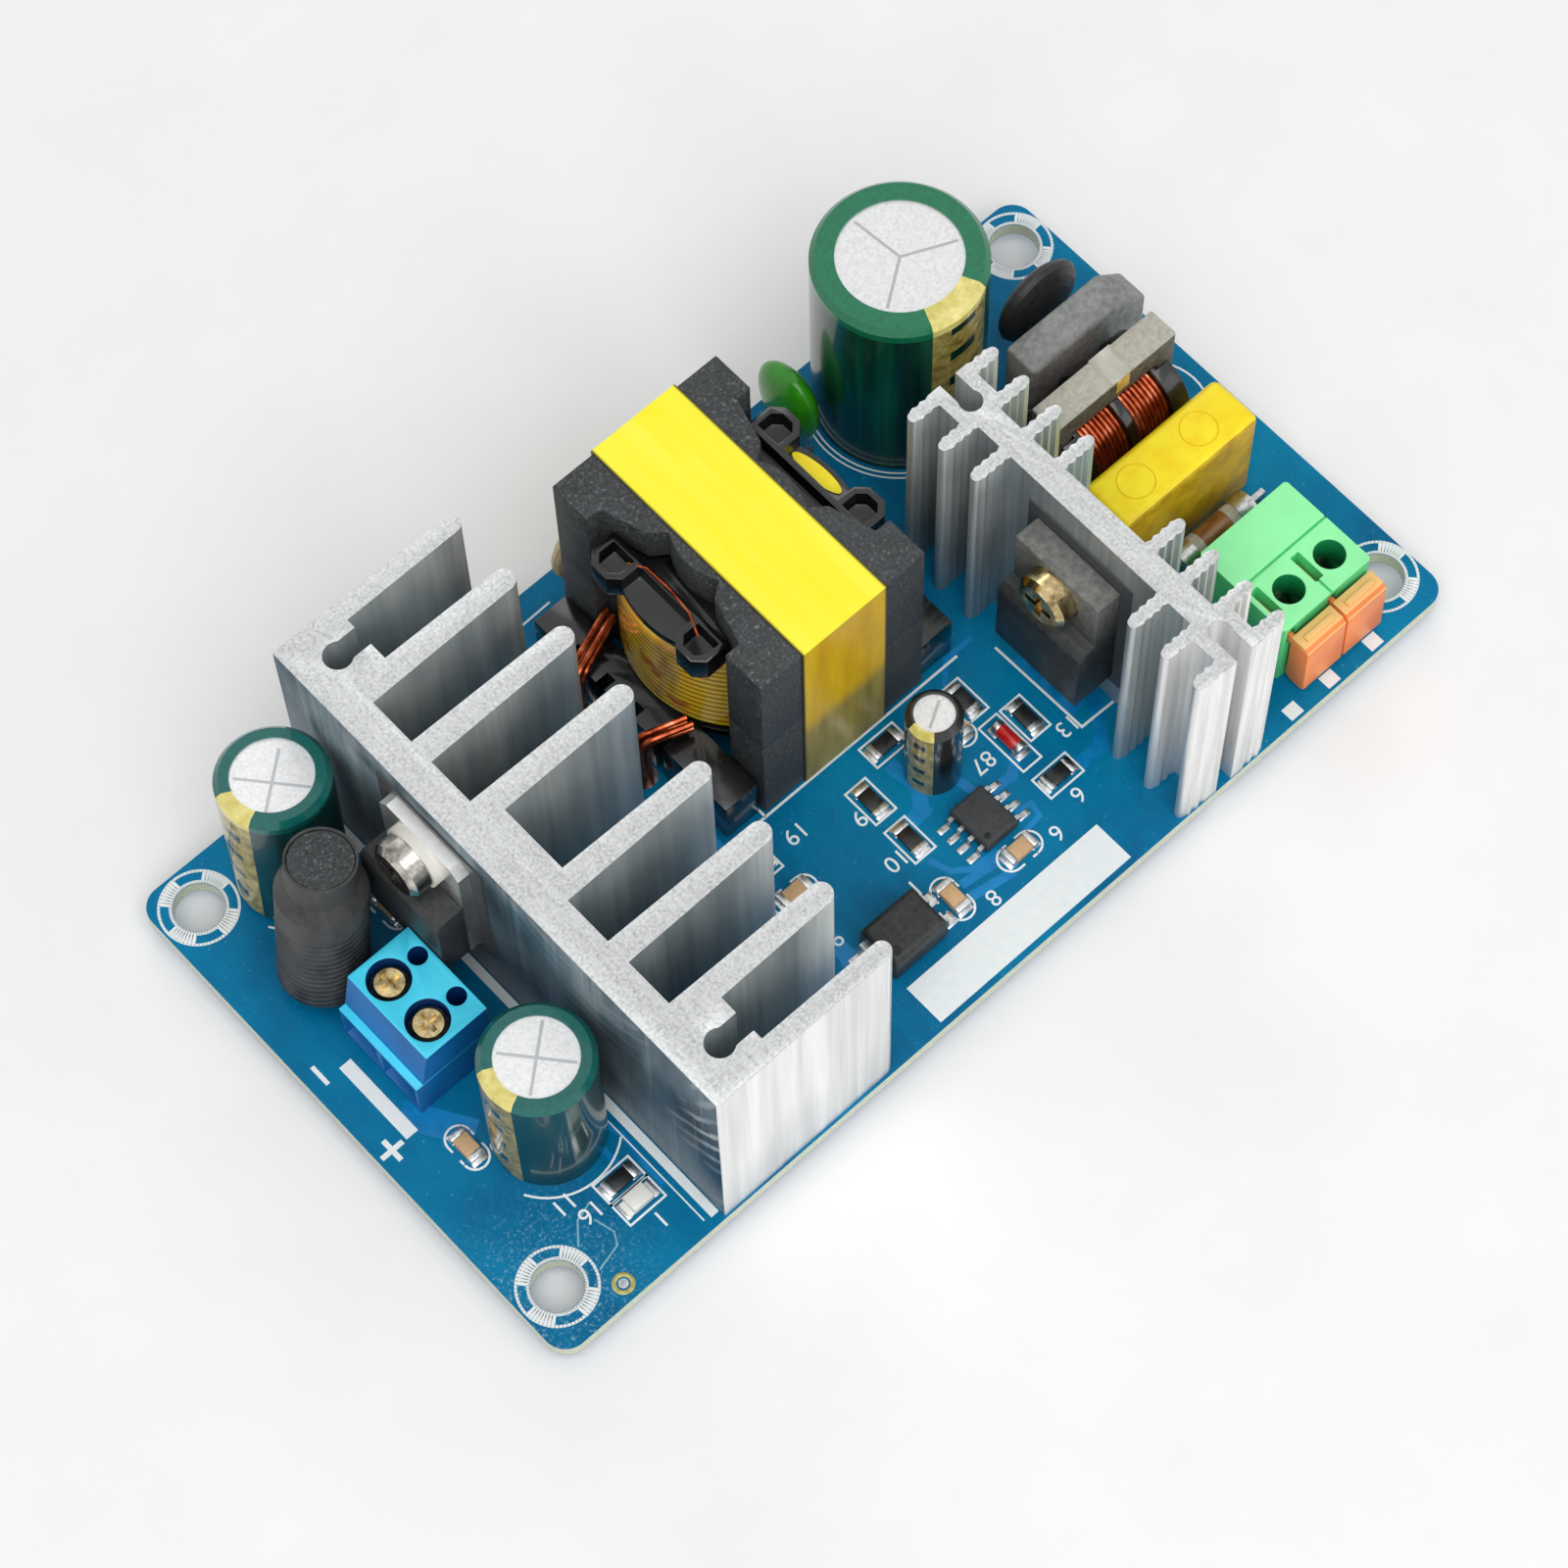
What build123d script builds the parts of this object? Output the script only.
from build123d import *
import math
import os

# Open-frame switching power supply.
# Mains comes in at the spring terminal on +X, low voltage leaves at the screw terminal on -X.
# The origin is the centre of the four mounting holes, on the underside of the board.
# +Z is up and all sizes are millimetres.

# Circuit board
BOARD_L = 107.0
BOARD_W = 57.0
BOARD_T = 1.6
BOARD_CORNER_R = 2.2
BOARD_OFF_X = -0.1
BOARD_OFF_Y = -0.6
MOUNT_PITCH_X = 99.4
MOUNT_PITCH_Y = 47.8
MOUNT_HOLE_R = 2.35

# Leads, board holes and solder
TAIL = 1.8
LEAD_HOLE_GAP = 0.15
SOLDER_GAP = 0.02
SOLDER_H = 1.2
SOLDER_SPREAD = 0.75
SOLDER_TIP = 0.2
SOLDER_SIDES = 8
SEAT = 0.3
PIN_GRIP = 1.0

# Heatsink on the output side, an extrusion standing on end
DC_SINK_H = 26.0
DC_SINK_LEN = 55.7
DC_SINK_X = -35.0
DC_SINK_Y = -1.05
DC_SPINE_T = 3.2
DC_REACH = 19.9
DC_FIN_ROOT = 2.6
DC_FIN_TIP = 2.15
DC_MID_FIN = 4.85
DC_BOSS_W = 8.05
DC_END_FIN_ROOT = 1.95
DC_END_FIN_TIP = 1.75
DC_MID_T = 4.8
DC_BOSS_T = 6.65
DC_SLOT_R = 1.35
DC_SLOT_MOUTH = 2.1
DC_SLOT_DEPTH = 2.75
DC_SLOT_INSET = 3.95

# Heatsink on the mains side, fins on both faces
AC_SINK_H = 26.0
AC_SINK_LEN = 36.3
AC_SINK_X = 24.7
AC_SINK_Y = -10.9
AC_SPINE_T = 2.6
AC_REACH = 5.4
AC_FIN_T = 1.4
AC_FIN_PLACES = (9.6, 13.6)
AC_INNER_FIN_PLACE = 5.55
AC_RIB_DEPTH = 0.18
AC_RIB_PITCH = 0.95
AC_BOSS_T = 4.5
AC_BOSS_LEN = 4.1
AC_SLOT_W = 1.85
AC_SLOT_DEPTH = 2.9
AC_SLOT_R = 1.1

# Heatsink screws from below
SINK_SCREW_SHANK_R = 1.05
SINK_SCREW_LEN = 7.0
SINK_SCREW_HEAD_R = 2.3
SINK_SCREW_HOLE_GAP = 0.25

# Tab and full-pack power devices
DEVICE_PITCH = 2.54
DEVICE_LEAD_W = 0.8
DEVICE_LEAD_T = 0.5
DEVICE_LEAD_BACK = 2.6
PAD_T = 0.2
DEVICE_SCREW_R = 1.5
DEVICE_SCREW_GAP = 0.05
DEVICE_HEAD_R = 2.8
DEVICE_HEAD_H = 2.1

RECT_Y = 6.85
RECT_TOP = 24.3
RECT_W = 10.1
RECT_TAB_T = 1.2
RECT_TAB_H = 6.4
RECT_BODY_H = 9.1
RECT_BODY_T = 4.2
RECT_HOLE_DROP = 2.8
RECT_HOLE_R = 1.85
RECT_TAB_CUT = 1.0
RECT_PAD_MARGIN_Y = 1.6
RECT_PAD_ABOVE = 0.7
RECT_PAD_BELOW = 0.8
BUSH_FLANGE_R = 3.1
BUSH_FLANGE_T = 1.0
BUSH_SLEEVE_T = 0.25

FET_Y = -10.95
FET_TOP = 22.3
FET_W = 10.2
FET_H = 15.9
FET_HEAD_H = 6.7
FET_HEAD_T = 2.7
FET_BODY_T = 4.6
FET_HOLE_DROP = 3.3
FET_HOLE_R = 1.65
FET_BEVEL = 0.9
FET_PAD_MARGIN_Y = 1.2
FET_PAD_ABOVE = 1.6
FET_PAD_BELOW = 1.2

# Transformer
TX_X = 2.5
TX_Y = 9.8
CORE_W = 19.0
CORE_L = 26.5
CORE_Z = 2.1
CORE_HALF_H = 12.35
CORE_PLATE_T = 4.3
CORE_POST_R = 6.0
CORE_WINDOW_R = 11.25
CORE_LEG_Y = 8.8
CORE_SHOULDER = 7.9
CORE_NECK_X = 6.6
CORE_NECK_Y = 4.3
CORE_WAIST = 4.9
CORE_WAIST_Y = 3.0
CORE_TAPE_W = 9.7
CORE_TAPE_T = 0.2
BOBBIN_GAP = 0.15
BOBBIN_WALL = 0.9
BOBBIN_FLANGE_T = 1.0
BOBBIN_FLANGE_R = 10.9
LOBE_REACH = 11.3
LOBE_Y = 5.4
LOBE_W = 3.9
LOBE_CUT = 1.0
GUIDE_X = 7.75
GUIDE_T = 0.6
GUIDE_RISE = 2.0
RAIL_GAP = 0.3
RAIL_T = 3.8
RAIL_HALF_L = 12.7
RAIL_SLOT_W = 1.1
RAIL_SLOT_D = 1.4
TX_PIN_W = 0.7
TX_PIN_PITCH = 3.9
TX_PIN_COUNT = 6
TX_PIN_GRIP = 1.5
COIL_R = 11.0
COIL_GAP = 0.1
COIL_BEVEL = 1.2
STRAND_R = 0.3
STRAND_SIDES = 8
STRAND_SPREAD = 0.42
STRAND_BEND = 1.3
STRAND_EXIT_Z = 9.3
STRAND_EXIT_Y = (7.9, -4.9)
STRAND_EXIT_GAP = 0.75
STRAND_OVER_Z = 8.9
STRAND_FOOT_X = -12.45
STRAND_FOOT_Y = (15.4, 6.7)
STRAND_HOLE_R = 1.3
STRAND_SOLDER_R = 2.0

# Electrolytic capacitors
BULK_X = 30.9
BULK_Y = 19.85
BULK_R = 8.05
BULK_TOP = 25.9
BULK_PITCH = 7.5
OUT_R = 5.15
OUT_TOP = 18.9
OUT_PITCH = 5.0
OUT_A_X = -41.3
OUT_A_Y = 20.9
OUT_A_LEAN = 4.5
OUT_A_LEAN_TO = 49.0
OUT_B_X = -40.85
OUT_B_Y = -12.7
SMALL_X = 6.9
SMALL_Y = -10.3
SMALL_R = 2.6
SMALL_TOP = 13.0
SMALL_PITCH = 2.0
SLEEVE_T = 0.2
SLEEVE_LIP = 0.72
CRIMP_D = 0.4
CRIMP_H = 1.0
BUNG_H = 1.2
BUNG_LEAD_GAP = 0.2
CAP_LEAD_W = 0.6

# Rod inductor in shrink sleeve
ROD_X = -45.7
ROD_Y = 11.4
ROD_LEN = 19.6
ROD_R = 2.85
ROD_LEAN = 7.7
ROD_LEAN_TO = 10.0
ROD_COIL_R = 3.75
ROD_COIL_LOW = 1.2
ROD_COIL_LEN = 13.4
ROD_SLEEVE_T = 0.25
ROD_SLEEVE_SHOULDER = 1.6
ROD_PITCH = 5.0
ROD_LIFT = 0.7

# Screw terminal
DCT_Y = 1.0
DCT_PITCH = 5.08
DCT_END = 0.07
DCT_BACK = -39.5
DCT_FRONT = -47.9
DCT_TOP_FRONT = -46.3
DCT_LEDGE_Z = 7.0
DCT_LEDGE = 0.7
DCT_TOP = 11.6
DCT_FLOOR = 0.6
DCT_SCREW_X = -43.9
DCT_WELL_R = 2.0
DCT_WELL_FLOOR = 9.3
DCT_SHELF_T = 0.4
DCT_ROOM_W = 4.4
DCT_ROOM_BACK = -41.8
DCT_TEST_X = -40.65
DCT_TEST_R = 0.9
DCT_TEST_FLOOR = 6.3
DCT_HEAD_R = 1.75
DCT_HEAD_H = 1.6
DCT_SHANK_R = 1.25
DCT_SHANK_GAP = 0.25
DCT_SHANK_END = 6.15
DCT_PLATE_Z = 5.1
DCT_PLATE_T = 0.7
DCT_PLATE_W = 2.2
DCT_PLATE_FRONT = -45.6
DCT_TAIL_T = 0.8
DCT_TAIL_W = 1.0
CLAMP_W = 3.8
CLAMP_D = 3.6
CLAMP_BOTTOM = 2.3
CLAMP_TOP = 6.9
CLAMP_WALL = 0.5
CLAMP_BRIDGE = 0.7

# Spring terminal with levers
ACT_X0 = 35.5
ACT_X1 = 46.4
ACT_FRONT = -24.9
ACT_BACK = -14.2
ACT_TOP = 11.0
ACT_POLE_X = (38.85, 43.95)
ACT_WIRE_Y = -22.1
ACT_WIRE_R = 1.5
ACT_WIRE_FLOOR = 7.3
ACT_ROOM_W = 3.6
ACT_ROOM_FRONT = -24.0
ACT_ROOM_BACK = -17.0
ACT_SLOT_SHIFT = -2.35
ACT_SLOT_W = 1.0
ACT_SLOT_BACK = -20.0
ACT_SLOT_END = -23.2
ACT_FINGER_W = 0.5
ACT_FINGER_LOW = 8.3
ACT_FINGER_HIGH = 9.4
ACT_FINGER_END = -20.4
ACT_FINGER_GAP = 0.5
ACT_SEAM = 0.25
ACT_SEAM_Y = -19.2
LEVER_W = 4.8
LEVER_SHIFT = -0.2
LEVER_BACK = -25.2
LEVER_FRONT = -27.3
LEVER_TOE = -27.5
LEVER_TOP = 9.5
LEVER_BOTTOM = 2.05
LEVER_GRIP_W = 3.4
LEVER_GRIP_T = 0.3
LEVER_GRIP_INSET = 0.75
LEVER_STEP = 0.5
LEVER_TOE_CUT = 0.4
PIVOT_Y = -25.75
PIVOT_Z = 3.1
PIVOT_R = 0.45
PIVOT_GAP = 0.12
EAR_R = 0.75
EAR_W = 1.6
EAR_ROOM = 0.35
SPRING_T = 0.35
SPRING_W = 2.2
SPRING_TAIL_W = 0.9
SPRING_TAIL_Y = -17.6
SPRING_BACK_Z = 6.2
SPRING_CREST_Z = 6.8
SPRING_CREST = 3.2
SPRING_END_Z = 3.4
SPRING_REACH = 5.6

# Suppression capacitor box
XCAP_X = 39.8
XCAP_Y = -6.15
XCAP_L = 16.6
XCAP_W = 5.7
XCAP_TOP = 13.8
XCAP_ROUND = 0.5
XCAP_PITCH = 15.0

# Common mode choke
CHOKE_X = 39.4
CHOKE_Y = 2.3
CHOKE_TOP = 18.0
CHOKE_L = 14.8
CHOKE_H = 10.0
CHOKE_LEG = 3.2
CHOKE_END_LEG = 2.2
CHOKE_CORE_GAP = 0.1
CHOKE_TUBE_R = 2.9
CHOKE_FLANGE_R = 4.9
CHOKE_FLANGE_T = 1.0
CHOKE_DRUM_L = 13.2
CHOKE_END_L = 2.0
CHOKE_COIL_R = 4.4
CHOKE_COIL_GAP = 0.1
CHOKE_FOOT_W = 7.6
CHOKE_FOOT_H = 3.0
CHOKE_PIN_X = 5.6
CHOKE_PIN_Y = 2.7

# Bridge rectifier
BRIDGE_X = 43.2
BRIDGE_Y = 9.5
BRIDGE_L = 14.4
BRIDGE_T = 3.8
BRIDGE_BOTTOM = 3.2
BRIDGE_TOP = 14.5
BRIDGE_CUT = 3.0
BRIDGE_ROUND = 0.35
BRIDGE_PITCH = 3.81
BRIDGE_LEAD_W = 0.8

# Thermistor disc
NTC_X = 44.3
NTC_Y = 15.5
NTC_Z = 8.2
NTC_R = 4.7
NTC_T = 3.3
NTC_PITCH = 5.0

# Axial fuse
FUSE_X = 40.9
FUSE_Y = -11.2
FUSE_Z = 3.7
FUSE_R = 1.6
FUSE_L = 9.0
FUSE_CAP_L = 1.8
FUSE_CAP_T = 0.2
FUSE_PITCH = 12.4

# Film and disc capacitors
FILM_X = 20.75
FILM_Y = 23.6
FILM_Z = 7.8
FILM_HALF = (1.7, 3.7, 4.4)
FILM_SECTIONS = ((-1.0, 0.3), (-0.8, 0.68), (-0.4, 0.94), (0.0, 1.0), (0.4, 0.94), (0.8, 0.68), (1.0, 0.3))
DIP_GRIP = 0.45
FILM_PITCH = 5.0
YCAP_X = -1.8
YCAP_Y = 25.6
YCAP_Z = 6.8
YCAP_R = 4.4
YCAP_T = 3.2
DISC_STEPS = 10
YCAP_PITCH = 5.0
WIRE_LEAD_W = 0.55

# Chips and small surface parts
SO8_X = 6.6
SO8_Y = -17.2
SO8_W = 3.8
SO8_L = 4.8
SO8_H = 1.45
SO8_PITCH = 1.27
OPTO_X = -6.4
OPTO_Y = -20.7
OPTO_L = 6.2
OPTO_W = 4.6
OPTO_H = 3.4
OPTO_PITCH = 2.54
CHIP_STANDOFF = 0.15
CHIP_LEAD_T = 0.2
GULL_FOOT = 0.7
GULL_KNEE = 0.35
SO8_LEAD_W = 0.42
OPTO_LEAD_W = 1.1
CHIP_L = 3.2
CHIP_W = 1.6
CHIP_H = 0.6
CHIP_CAP_H = 0.95
LED_L = 3.2
LED_W = 1.7
LED_H = 1.1
MELF_L = 3.5
MELF_R = 0.75

# Places of the chip resistors and capacitors: x, y, turned to lie along Y or not
CHIP_RESISTORS = (
    (0.65, -8.9, True),
    (0.65, -14.0, True),
    (5.35, -5.7, False),
    (13.5, -7.3, True),
    (16.4, -12.3, True),
    (14.6, -18.4, False),
    (-11.3, -7.0, False),
    (-39.5, -20.4, False),
)
CHIP_CAPACITORS = (
    (7.0, -21.4, False),
    (-0.5, -20.7, True),
    (-47.1, -9.2, True),
    (-10.4, -11.0, False),
    (11.2, -8.6, True),
    (-37.4, 12.4, True),
)
LED_PLACE = (-39.5, -22.8)
MELF_PLACE = (13.7, -13.0)

# Heights and places that follow from the values above
TOP = BOARD_T
DC_OUTER_FIN = DC_SINK_LEN / 2 - DC_BOSS_W
DC_FIN_PLACES = (DC_MID_FIN, (DC_MID_FIN + DC_OUTER_FIN) / 2, DC_OUTER_FIN)
DC_SLOT_PLACE = DC_SINK_LEN / 2 - DC_SLOT_INSET
AC_FACE = AC_SINK_X - AC_SPINE_T / 2
CORE_TOP = CORE_Z + 2 * CORE_HALF_H
WINDOW_LOW = CORE_Z + CORE_PLATE_T
WINDOW_HIGH = CORE_TOP - CORE_PLATE_T
RAIL_X = CORE_W / 2 + RAIL_GAP
TX_PIN_X = RAIL_X + RAIL_T / 2
RECT_LEAD_X = DC_SINK_X - PAD_T - DEVICE_LEAD_BACK
RECT_SCREW_Z = RECT_TOP - RECT_HOLE_DROP
FET_LEAD_X = AC_FACE - PAD_T - DEVICE_LEAD_BACK
FET_SCREW_Z = FET_TOP - FET_HOLE_DROP
DCT_POLES = (DCT_Y + DCT_PITCH / 2, DCT_Y - DCT_PITCH / 2)
DCT_TAIL_X = DCT_ROOM_BACK + 1.0
OUT_A_LIFT = OUT_R * math.sin(math.radians(OUT_A_LEAN))
CHOKE_LOW_Z = CHOKE_TOP - CHOKE_H + CHOKE_LEG / 2


# Plain shapes between limits
def span(x0, x1, y0, y1, z0, z1):
    middle = Pos((x0 + x1) / 2, (y0 + y1) / 2, (z0 + z1) / 2)
    return middle * Box(x1 - x0, y1 - y0, z1 - z0)


def post(x, y, z0, z1, r):
    return Pos(x, y, (z0 + z1) / 2) * Cylinder(r, z1 - z0)


def raised(sketch, z0, z1):
    return extrude(Pos(0, 0, z0) * sketch, amount=z1 - z0, dir=(0, 0, 1))


# Polygon with its face towards the viewer, whichever way round the points run
def flat(points):
    pairs = zip(points, points[1:] + points[:1])
    turn = sum(a[0] * b[1] - b[0] * a[1] for a, b in pairs)
    ordered = points if turn > 0 else points[::-1]
    return Polygon(*ordered, align=None)


def along_x(points, x0, x1):
    face = Pos(x0, 0, 0) * (Plane.YZ * flat(points))
    return extrude(face, amount=x1 - x0, dir=(1, 0, 0))


def along_y(points, y0, y1):
    face = Pos(0, y0, 0) * (Plane.XZ * flat(points))
    return extrude(face, amount=y1 - y0, dir=(0, 1, 0))


def lathe(points):
    return revolve(Plane.XZ * flat(points), axis=Axis.Z)


def group(shapes):
    return Compound(children=[solid for shape in shapes for solid in shape.solids()])


# Rows of leads, each as x, y and width
def pins_along_x(x, y, count, pitch, width):
    start = x - pitch * (count - 1) / 2
    return [(start + i * pitch, y, width) for i in range(count)]


def pins_along_y(x, y, count, pitch, width):
    start = y - pitch * (count - 1) / 2
    return [(x, start + i * pitch, width) for i in range(count)]


RECT_PINS = pins_along_y(RECT_LEAD_X, RECT_Y, 3, DEVICE_PITCH, DEVICE_LEAD_W)
FET_PINS = pins_along_y(FET_LEAD_X, FET_Y, 3, DEVICE_PITCH, DEVICE_LEAD_W)
TX_PINS = [
    pin
    for side in (-1, 1)
    for pin in pins_along_y(TX_X + side * TX_PIN_X, TX_Y, TX_PIN_COUNT, TX_PIN_PITCH, TX_PIN_W)
]
BULK_PINS = pins_along_x(BULK_X, BULK_Y, 2, BULK_PITCH, CAP_LEAD_W)
OUT_A_PINS = pins_along_y(OUT_A_X, OUT_A_Y, 2, OUT_PITCH, CAP_LEAD_W)
OUT_B_PINS = pins_along_y(OUT_B_X, OUT_B_Y, 2, OUT_PITCH, CAP_LEAD_W)
SMALL_PINS = pins_along_x(SMALL_X, SMALL_Y, 2, SMALL_PITCH, CAP_LEAD_W)
ROD_PINS = pins_along_y(ROD_X, ROD_Y, 2, ROD_PITCH, WIRE_LEAD_W)
DCT_PINS = [(DCT_TAIL_X, y, DCT_TAIL_W) for y in DCT_POLES]
ACT_PINS = [(x, SPRING_TAIL_Y, SPRING_TAIL_W) for x in ACT_POLE_X]
XCAP_PINS = pins_along_x(XCAP_X, XCAP_Y, 2, XCAP_PITCH, WIRE_LEAD_W)
CHOKE_PINS = [
    (CHOKE_X + sx * CHOKE_PIN_X, CHOKE_Y + sy * CHOKE_PIN_Y, WIRE_LEAD_W)
    for sx in (-1, 1)
    for sy in (-1, 1)
]
BRIDGE_PINS = pins_along_x(BRIDGE_X, BRIDGE_Y, 4, BRIDGE_PITCH, BRIDGE_LEAD_W)
NTC_PINS = pins_along_x(NTC_X, NTC_Y, 2, NTC_PITCH, WIRE_LEAD_W)
FUSE_PINS = pins_along_x(FUSE_X, FUSE_Y, 2, FUSE_PITCH, WIRE_LEAD_W)
FILM_PINS = pins_along_y(FILM_X, FILM_Y, 2, FILM_PITCH, WIRE_LEAD_W)
YCAP_PINS = pins_along_x(YCAP_X, YCAP_Y, 2, YCAP_PITCH, WIRE_LEAD_W)
CAP_PINS = BULK_PINS + OUT_A_PINS + OUT_B_PINS + SMALL_PINS
ALL_PINS = (
    RECT_PINS + FET_PINS + TX_PINS + CAP_PINS + ROD_PINS + DCT_PINS + ACT_PINS + XCAP_PINS
    + CHOKE_PINS + BRIDGE_PINS + NTC_PINS + FUSE_PINS + FILM_PINS + YCAP_PINS
)
DC_SINK_SCREWS = [
    (DC_SINK_X + DC_BOSS_T - DC_SLOT_DEPTH, DC_SINK_Y + side * DC_SLOT_PLACE) for side in (-1, 1)
]
AC_SINK_SCREWS = [
    (AC_SINK_X, AC_SINK_Y + side * (AC_SINK_LEN / 2 - AC_SLOT_DEPTH)) for side in (-1, 1)
]
SINK_SCREWS = DC_SINK_SCREWS + AC_SINK_SCREWS


def lead(pin, z1, z0=-TAIL):
    x, y, width = pin
    half = width / 2
    return span(x - half, x + half, y - half, y + half, z0, z1)


def lead_hole_r(width):
    return width * math.sqrt(2) / 2 + LEAD_HOLE_GAP


# Screw standing on its head's underside at z = 0, with a cross recess
def pan_screw(head_r, head_h, shank_r, shank_len):
    head = Pos(0, 0, head_h / 2) * Cylinder(head_r, head_h)
    head = chamfer(head.edges().group_by(Axis.Z)[-1], head_h / 4)
    recess = Pos(0, 0, head_h) * (
        Box(head_r * 1.1, head_r / 4, head_h * 0.7) + Box(head_r / 4, head_r * 1.1, head_h * 0.7)
    )
    shank = Pos(0, 0, -shank_len / 2) * Cylinder(shank_r, shank_len)
    return head + shank - recess


# Circuit board with its mounting holes, lead holes and heatsink screw holes
def circuit_board():
    outline = Pos(BOARD_OFF_X, BOARD_OFF_Y) * RectangleRounded(BOARD_L, BOARD_W, BOARD_CORNER_R)
    for place in GridLocations(MOUNT_PITCH_X, MOUNT_PITCH_Y, 2, 2):
        outline -= place * Circle(MOUNT_HOLE_R)
    for x, y, width in ALL_PINS:
        outline -= Pos(x, y) * Circle(lead_hole_r(width))
    for x, y in SINK_SCREWS:
        outline -= Pos(x, y) * Circle(SINK_SCREW_SHANK_R + SINK_SCREW_HOLE_GAP)
    for y in STRAND_FOOT_Y:
        outline -= Pos(STRAND_FOOT_X, y) * Circle(STRAND_HOLE_R)
    return raised(outline, 0, BOARD_T)


# Solder fillet round a lead, with few sides because there are many
def solder_joint(pin):
    x, y, width = pin
    hole = width + 2 * SOLDER_GAP
    wide = RegularPolygon(hole / 2 + SOLDER_SPREAD, SOLDER_SIDES)
    narrow = RegularPolygon(hole * math.sqrt(2) / 2 + SOLDER_TIP, SOLDER_SIDES)
    cone = loft([wide, Pos(0, 0, -SOLDER_H) * narrow])
    return Pos(x, y) * (cone - Box(hole, hole, 4 * SOLDER_H))


def strand_solder(y):
    wide = RegularPolygon(STRAND_SOLDER_R, SOLDER_SIDES)
    narrow = Pos(0, 0, -SOLDER_H) * RegularPolygon(STRAND_SOLDER_R / 2, SOLDER_SIDES)
    return Pos(STRAND_FOOT_X, y) * loft([wide, narrow])


def solder_joints():
    return group([solder_joint(pin) for pin in ALL_PINS] + [strand_solder(y) for y in STRAND_FOOT_Y])


# Fin drawn along +X from the origin, narrower at its rounded tip
def tapered_fin(reach, root, tip):
    shoulder = reach - tip / 2
    web = flat(((0, -root / 2), (shoulder, -tip / 2), (shoulder, tip / 2), (0, root / 2)))
    return web + Pos(shoulder, 0) * Circle(tip / 2)


def dc_heatsink():
    face = DC_SINK_X
    half = DC_SINK_LEN / 2
    profile = Pos(face + DC_SPINE_T / 2, DC_SINK_Y) * Rectangle(DC_SPINE_T, DC_SINK_LEN)
    mid_w = 2 * DC_MID_FIN
    profile += Pos(face + DC_MID_T / 2, DC_SINK_Y) * Rectangle(DC_MID_T, mid_w)
    fin = Pos(face) * tapered_fin(DC_REACH, DC_FIN_ROOT, DC_FIN_TIP)
    end_fin = Pos(face) * tapered_fin(DC_REACH, DC_END_FIN_ROOT, DC_END_FIN_TIP)
    slot = Pos(face + DC_BOSS_T - DC_SLOT_DEPTH) * Circle(DC_SLOT_R)
    slot += Pos(face + DC_BOSS_T - DC_SLOT_DEPTH / 2) * Rectangle(DC_SLOT_DEPTH, DC_SLOT_MOUTH)
    for side in (-1, 1):
        for place in DC_FIN_PLACES:
            profile += Pos(0, DC_SINK_Y + side * place) * fin
        profile += Pos(0, DC_SINK_Y + side * (half - DC_END_FIN_ROOT / 2)) * end_fin
        boss = Rectangle(DC_BOSS_T, DC_BOSS_W)
        profile += Pos(face + DC_BOSS_T / 2, DC_SINK_Y + side * (half - DC_BOSS_W / 2)) * boss
    for side in (-1, 1):
        profile -= Pos(0, DC_SINK_Y + side * DC_SLOT_PLACE) * slot
    sink = raised(profile, TOP, TOP + DC_SINK_H)
    bore = Rot(0, 90, 0) * Cylinder(DEVICE_SCREW_R + DEVICE_SCREW_GAP, 2 * DC_SPINE_T)
    return sink - Pos(face, RECT_Y, RECT_SCREW_Z) * bore


# Fin with fine ribs on both faces, drawn along +X from the origin
def ribbed_fin(reach, width):
    half = width / 2
    steps = int((reach - half) / (AC_RIB_PITCH / 2))
    start = reach - half - steps * AC_RIB_PITCH / 2
    side = [(0, half)]
    for i in range(steps + 1):
        side.append((start + i * AC_RIB_PITCH / 2, half - AC_RIB_DEPTH * (i % 2)))
    web = flat(side + [(x, -y) for x, y in reversed(side)])
    return web + Pos(reach - half, 0) * Circle(half - AC_RIB_DEPTH * (steps % 2))


def ac_heatsink():
    profile = Pos(AC_SINK_X, AC_SINK_Y) * Rectangle(AC_SPINE_T, AC_SINK_LEN)
    end_place = AC_SINK_LEN / 2 - AC_FIN_T / 2
    fin = ribbed_fin(AC_REACH, AC_FIN_T)
    for side in (-1, 1):
        for turn in (0, 180):
            for place in AC_FIN_PLACES + (end_place,):
                profile += Pos(AC_SINK_X, AC_SINK_Y + side * place) * Rot(0, 0, turn) * fin
        profile += Pos(AC_SINK_X, AC_SINK_Y + side * AC_INNER_FIN_PLACE) * fin
        boss = Rectangle(AC_BOSS_T, AC_BOSS_LEN)
        profile += Pos(AC_SINK_X, AC_SINK_Y + side * (AC_SINK_LEN - AC_BOSS_LEN) / 2) * boss
    for x, y in AC_SINK_SCREWS:
        toward = math.copysign(AC_SLOT_DEPTH, y - AC_SINK_Y)
        profile -= Pos(x, y) * Circle(AC_SLOT_R)
        profile -= Pos(x, y + toward / 2) * Rectangle(AC_SLOT_W, AC_SLOT_DEPTH)
    sink = raised(profile, TOP, TOP + AC_SINK_H)
    bore = Rot(0, 90, 0) * Cylinder(DEVICE_SCREW_R + DEVICE_SCREW_GAP, 2 * AC_SPINE_T)
    return sink - Pos(AC_SINK_X, FET_Y, FET_SCREW_Z) * bore


def heatsink_screws():
    screw = Rot(180, 0, 0) * pan_screw(SINK_SCREW_HEAD_R, TAIL, SINK_SCREW_SHANK_R, SINK_SCREW_LEN)
    return group([Pos(x, y) * screw for x, y in SINK_SCREWS])


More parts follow.
